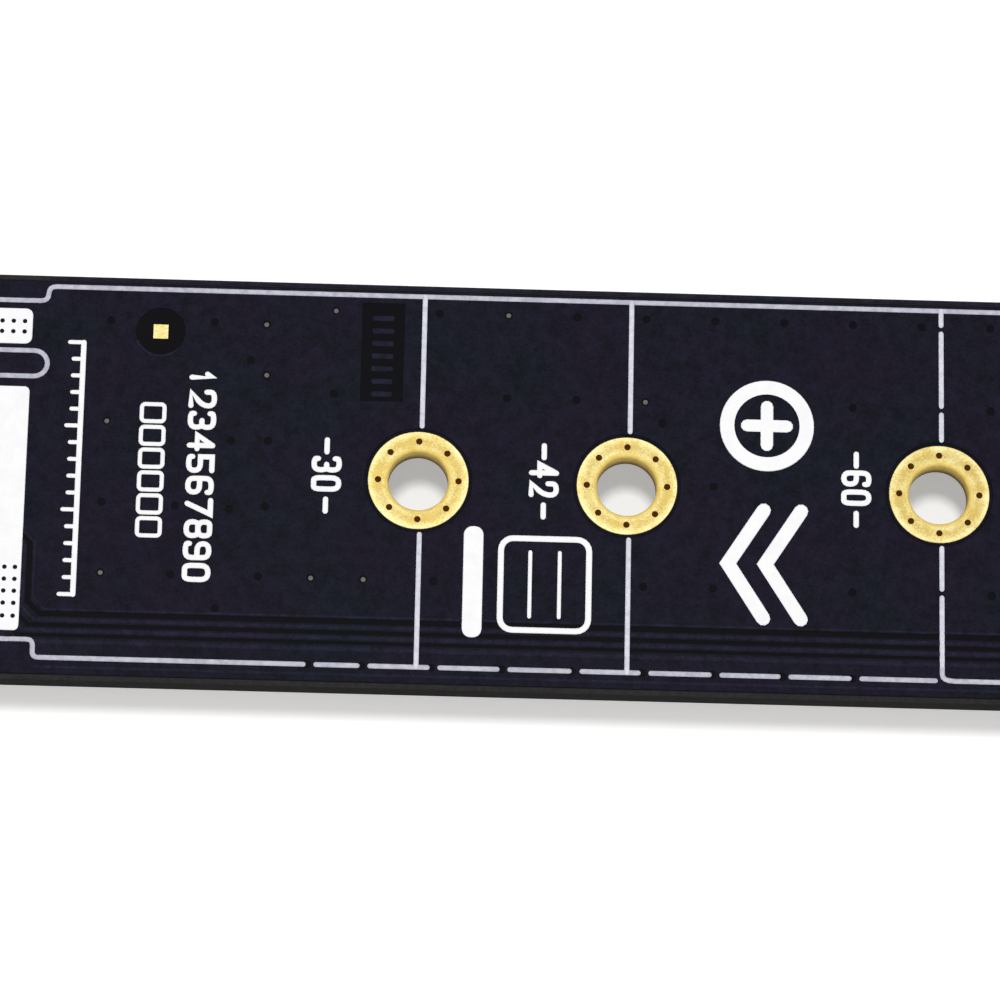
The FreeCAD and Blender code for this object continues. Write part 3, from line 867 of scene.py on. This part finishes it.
moulding = material("black_moulding", black_moulding, Specular_IOR_Level=0.3)
springs = material("gilt_spring", gilt_spring, Metallic=1.0)
tinned = material("tinned_sheet", tinned_sheet, Metallic=1.0)
finish_cad("socket_housing", moulding)
finish_cad("socket_upper_contacts", springs)
finish_cad("socket_lower_contacts", springs)
finish_cad("socket_anchor_near", tinned)
finish_cad("socket_anchor_far", tinned)


# ---- Component face ----------------------------------------------------------------------------------
# The other copper sheet starts in front of the socket. Between the socket and the host edge it is etched
# into one narrow track for each contact, and ground areas at both sides. White print names the lengths.

contact_pitch = 0.5
key_offset = 6.125
rear_tip, front_tip = -37.4, -28.7


def tail_places(positions):
    """Across the board, where one row of springs comes out. Four places are missing at the key."""
    offsets = [(n - (positions - 1) / 2) * contact_pitch for n in range(positions)]
    return [axis_y + offset for offset in offsets if abs(offset - key_offset) > 2 * contact_pitch]


rear_tails, front_tails = tail_places(38), tail_places(37)

face_sheet_start = -27.3
face_sheet = [(face_sheet_start, copper_low), *far_corners, (face_sheet_start, copper_high)]
face_windows = [disc(*at(x, y), via_radius, 12) for x, y in via_places if at(x, y)[0] > face_sheet_start + 1]
face_windows += ring_windows
lamp_track_y, lamp_track_half, lamp_gap = axis_y - 9.6, 0.3, 0.16
lamp_turn_x, lamp_turn_shift, lamp_rise = 46.9, 0.12, 1.4
for side in (-1, 1):
    y = lamp_track_y + side * lamp_track_half
    turn_x = lamp_turn_x - side * lamp_turn_shift
    path = [(face_sheet_start + 1, y), (turn_x, y), (turn_x + lamp_rise, y + lamp_rise)]
    face_windows.append(band(path, lamp_gap))

chip_nodes = [f"supply_capacitor_{n}" for n in range(1, 5)] + ["lamp", "lamp_resistor"]
chip_boxes = [corners_of(node + "_ends") for node in chip_nodes]
chip_margin_x, chip_margin_y = 0.3, 0.55
for low, high in chip_boxes:
    if low.x > face_sheet_start:
        face_windows.append(rounded_box(low.x - chip_margin_x, high.x + chip_margin_x,
                                        low.y - chip_margin_y, high.y + chip_margin_y, 0.15))
face_copper = layer(face_z, [face_sheet], face_windows, copper_height, copper_slope)
piece("face_copper_sheet", face_copper, mask_over_copper)

bend_start = -43.4
track_end = rear_tip - 0.3
straight_within = 0.06
face_tracks = []
for y in host_contact_y:
    tail = min(rear_tails, key=lambda other: abs(other - y))
    shift = abs(tail - y)
    if shift < straight_within:
        path = [(track_start, tail), (track_end, tail)]
    else:
        path = [(track_start, y), (bend_start, y), (bend_start + shift, tail), (track_end, tail)]
    face_tracks.append(band(path, track_width))
ground_start, ground_end = -42.6, -35.8
for ground_low, ground_high in ((10.8, 11.65), (-11.6, -10.2)):
    face_tracks.append(rounded_box(ground_start, ground_end, ground_low, ground_high, 0.3))
face_track_layer = layer(face_z, face_tracks, [], copper_height, copper_slope)
piece("face_tracks", face_track_layer, mask_over_tracks_and_highlights)

joint_toe, joint_heel, joint_half, joint_corner = 0.5, 0.68, 0.15, 0.09
joint_height, joint_slope = 0.1, 0.07
tail_joints = []
for tails, start, end in ((rear_tails, rear_tip - joint_toe, rear_tip + joint_heel),
                          (front_tails, front_tip - joint_heel, front_tip + joint_toe)):
    tail_joints += [rounded_box(start, end, y - joint_half, y + joint_half, joint_corner) for y in tails]
piece("tail_joints", layer(face_z, tail_joints, [], joint_height, joint_slope), tinned)

solder_in, solder_out, solder_side = 0.25, 0.34, 0.08
solder_height, solder_slope = 0.2, 0.16
chip_joints = []
for low, high in chip_boxes:
    for end, side in ((low.y, -1), (high.y, 1)):
        near, far = sorted((end - side * solder_in, end + side * solder_out))
        chip_joints.append(rounded_box(low.x - solder_side, high.x + solder_side, near, far, 0.12))
anchor_margin = 0.3
for node in ("socket_anchor_near", "socket_anchor_far"):
    low, high = corners_of(node)
    chip_joints.append(rounded_box(low.x - anchor_margin, high.x + anchor_margin,
                                   low.y - anchor_margin, high.y + anchor_margin, anchor_margin))
piece("chip_joints", layer(face_z, chip_joints, [], solder_height, solder_slope), tinned)

legend = Print(face_z, (0.05, 0.03))
legend_x, legend_y = -24.6, 10.1
for side in (-1, 1):
    legend.line(softened([(legend_x, side * legend_y), (shoulder_x, side * legend_y),
                          (shoulder_x, side * print_edge), (last_end, side * print_edge),
                          (last_end, side * ring_clear)], 0.6))
    legend.line([(legend_x, side * legend_y), (legend_x, side * 4.2)])
    legend.line(softened([(-30.5, side * 11.0), (-35.9, side * 11.0), (-35.9, side * 9.4)], 0.3), 0.2)
    for x in drive_ends[:-1]:
        legend.line([(x, side * print_edge), (x, side * ring_clear)])
for length, x in zip(drive_lengths, (-5.0, 7.4, 25.4, 45.4)):
    legend.number(length, x, length_start, length_height, length_advance)
for start in (-20.2, -18.2):
    legend.line([(start, 3.2), (start - 2.05, 0), (start, -3.2)], 0.7)
legend.field(rounded_box(-13.2, -9.6, -8.2, 8.2, 0.4))
legend.field(disc(19.9, 5.4, 2.2, 40), disc(19.9, 5.4, 1.55, 36))
legend.line([(19.0, 5.4), (20.8, 5.4)], 0.5)
legend.number("1", -31.5, -10.95, 1.1, 0.8, 0.2)
legend.loop(rounded_box(33.6, 41.2, -8.6, 8.6, 0.7), 0.3)
for n in range(5):
    y = 6.2 - 3.1 * n
    legend.line([(34.9, y), (39.9, y)], 0.2)
for low, high in chip_boxes:
    low_x, high_x = low.x - hole_x - chip_margin_x, high.x - hole_x + chip_margin_x
    low_y, high_y = low.y - axis_y - chip_margin_y, high.y - axis_y + chip_margin_y
    for x, turn in ((low_x, 0.3), (high_x, -0.3)):
        legend.line([(x + turn, low_y), (x, low_y), (x, high_y), (x + turn, high_y)], 0.13)
legend.done("face_legend", full_ink)


# ---- Standoff and screws -----------------------------------------------------------------------------
# A turned brass hexagon holds the drive's end clear of the board. A nickel-plated screw from the back
# holds it in the hole of the drive's length, and a flat one holds the drive to it.

def plain_brass(place):
    cuts = place.noise(0.25, 3.0, 0.6)
    fine = place.noise(0.05, 2.0)
    return {
        "Base Color": cuts.between(0.3, 0.7).blend((0.62, 0.44, 0.18), (0.78, 0.58, 0.27)),
        "Roughness": 0.24 + 0.2 * cuts,
        "Normal": (0.4 * cuts + 0.6 * fine).relief(0.008),
    }


def nickel_plate(place):
    cloud = place.noise(0.6, 3.0, 0.6)
    fine = place.noise(0.06, 2.0)
    return {
        "Base Color": cloud.between(0.3, 0.7).blend((0.58, 0.56, 0.53), (0.72, 0.70, 0.66)),
        "Roughness": 0.2 + 0.18 * cloud,
        "Normal": (0.4 * cloud + 0.6 * fine).relief(0.006),
    }


brass = material("plain_brass", plain_brass, Metallic=1.0)
nickel = material("nickel_screw", nickel_plate, Metallic=1.0)
finish_cad("drive_standoff", brass)
finish_cad("drive_screw", nickel)
finish_cad("standoff_screw", nickel)


# ---- Capacitors, lamp and its resistor ---------------------------------------------------------------
# Sintered ceramic blocks with tinned ends. The lamp is a white ceramic base with a clear moulded lens.
# All are placed by machine on solder paste and soldered in an oven.

def speckled(dark, light, rough):
    """Ceramic, glaze or resin between two shades, with a fine speckle and a soft cloud over it."""
    def build(place):
        speck = place.noise(0.12, 3.0, 0.7)
        cloud = place.noise(0.7, 1.0)
        return {
            "Base Color": (0.6 * speck + 0.4 * cloud).between(0.35, 0.65).blend(dark, light),
            "Roughness": rough + 0.15 * speck,
            "Normal": speck.relief(0.006),
        }
    return build


ceramic = material("brown_ceramic", speckled((0.16, 0.085, 0.042), (0.26, 0.15, 0.082), 0.42))
white_ceramic = material("white_base", speckled((0.62, 0.61, 0.57), (0.74, 0.73, 0.70), 0.4))
glaze = material("black_glaze", speckled((0.012, 0.012, 0.013), (0.028, 0.027, 0.027), 0.25))
clear_shades = speckled((0.80, 0.82, 0.66), (0.90, 0.92, 0.78), 0.06)
resin = material("clear_resin", clear_shades, Transmission_Weight=0.8)


def eased(corners, radius):
    """Blocks between pairs of corners, with edges worn round by tumbling or by the mould."""
    blocks = bmesh.new()
    for low, high in corners:
        made = bmesh.ops.create_cube(blocks, size=1.0)["verts"]
        middle, size = (low + high) / 2, high - low
        for corner in made:
            corner.co = middle + corner.co * size
        edges = list({edge for corner in made for edge in corner.link_edges})
        bevel = {"offset": radius, "segments": 4, "profile": 0.5, "affect": "EDGES"}
        for face in bmesh.ops.bevel(blocks, geom=edges, **bevel)["faces"]:
            face.smooth = True
    return mesh_of(blocks)


def chip_piece(node, corners, radius, finish):
    """Blocks with eased edges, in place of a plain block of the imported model."""
    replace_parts(piece(node + "_eased", eased(corners, radius), finish), node)


def end_caps(node, length):
    """The two tinned ends of a chip, each as long as given."""
    low, high = corners_of(node)
    return [(low, Vector((high.x, low.y + length, high.z))), (Vector((low.x, high.y - length, low.z)), high)]


cap_lengths = (0.45, 0.35, 0.35, 0.45)
chips = [(f"supply_capacitor_{n}", cap, ceramic, "brown_ceramic") for n, cap in enumerate(cap_lengths, 1)]
chips.append(("lamp_resistor", 0.3, glaze, "black_glaze"))
for chip, cap, finish, slot in chips:
    body, ends = chip + "_body", chip + "_ends"
    chip_piece(body, [corners_of(body)], 0.05, finish)
    chip_piece(ends, end_caps(ends, cap), 0.07, tinned)
chip_piece("lamp_ends", end_caps("lamp_ends", 0.32), 0.05, tinned)
chip_piece("lamp_base", [corners_of("lamp_base")], 0.03, white_ceramic)
chip_piece("lamp_lens", [corners_of("lamp_lens")], 0.12, resin)


# ---- Table, lights and camera ------------------------------------------------------------------------
# The card lies on its socket on a plain white table. A small soft light hangs overhead, a little behind
# it, a weak one stands in front, and an even pale surround fills the shadows.

def table_top(place):
    """White card. To the camera, and in metal and resin, it glows a little, so that it looks white
    and its shadows stay pale. The light that it throws on the card comes from its colour alone."""
    cloud = place.noise(60.0, 2.0)
    seen = place.node("LightPath", output="Is Camera Ray") + place.node("LightPath", output="Is Glossy Ray")
    seen = seen + place.node("LightPath", output="Is Transmission Ray")
    given = cloud.between(0.3, 0.7).blend((0.90, 0.90, 0.895), (0.92, 0.92, 0.918))
    return {
        "Base Color": seen.blend(given, (0.95, 0.95, 0.94)),
        "Roughness": 0.7 + 0.1 * cloud,
        "Emission Color": seen.blend((0, 0, 0), (0.335, 0.33, 0.325)),
    }


reach = 1.5
table = bpy.data.meshes.new("table")
table_corners = [(x * reach, y * reach, 0) for x, y in ((-1, -1), (1, -1), (1, 1), (-1, 1))]
table.from_pydata(table_corners, [], [(0, 1, 2, 3)])
table.materials.append(material("table_top", table_top, Specular_IOR_Level=0.1, Emission_Strength=1.0))
table_object = bpy.data.objects.new("table", table)
bpy.context.scene.collection.objects.link(table_object)


def lamp(name, place, size, strength):
    """A round soft light that points at the middle of the table."""
    light = bpy.data.lights.new(name, "AREA")
    light.shape, light.size, light.energy = "DISK", size, strength
    holder = bpy.data.objects.new(name, light)
    holder.location = place
    holder.rotation_euler = (-holder.location).to_track_quat("-Z", "Y").to_euler()
    bpy.context.scene.collection.objects.link(holder)


lamp("overhead_light", (-0.03, 0.058, 0.9), 0.14, 3.75)
lamp("front_fill", (0.08, -0.6, 0.5), 0.4, 0.4)

world = bpy.data.worlds.new("studio")
bpy.context.scene.world = world
world.use_nodes = True
surround = world.node_tree.nodes["Background"].inputs
surround["Color"].default_value = (1, 1, 1, 1)
surround["Strength"].default_value = 0.5

camera = bpy.data.cameras.new("camera")
camera.lens, camera.sensor_width = 172.8, 36
camera.clip_start, camera.clip_end = 0.01, 10
camera_object = bpy.data.objects.new("camera", camera)
camera_object.location = (-0.0041, -0.07258, 0.27179)
camera_object.rotation_euler = [math.radians(turn) for turn in (15.084, -1.571, 1.178)]
bpy.context.scene.collection.objects.link(camera_object)
bpy.context.scene.camera = camera_object
bpy.context.scene.view_settings.view_transform = "Standard"
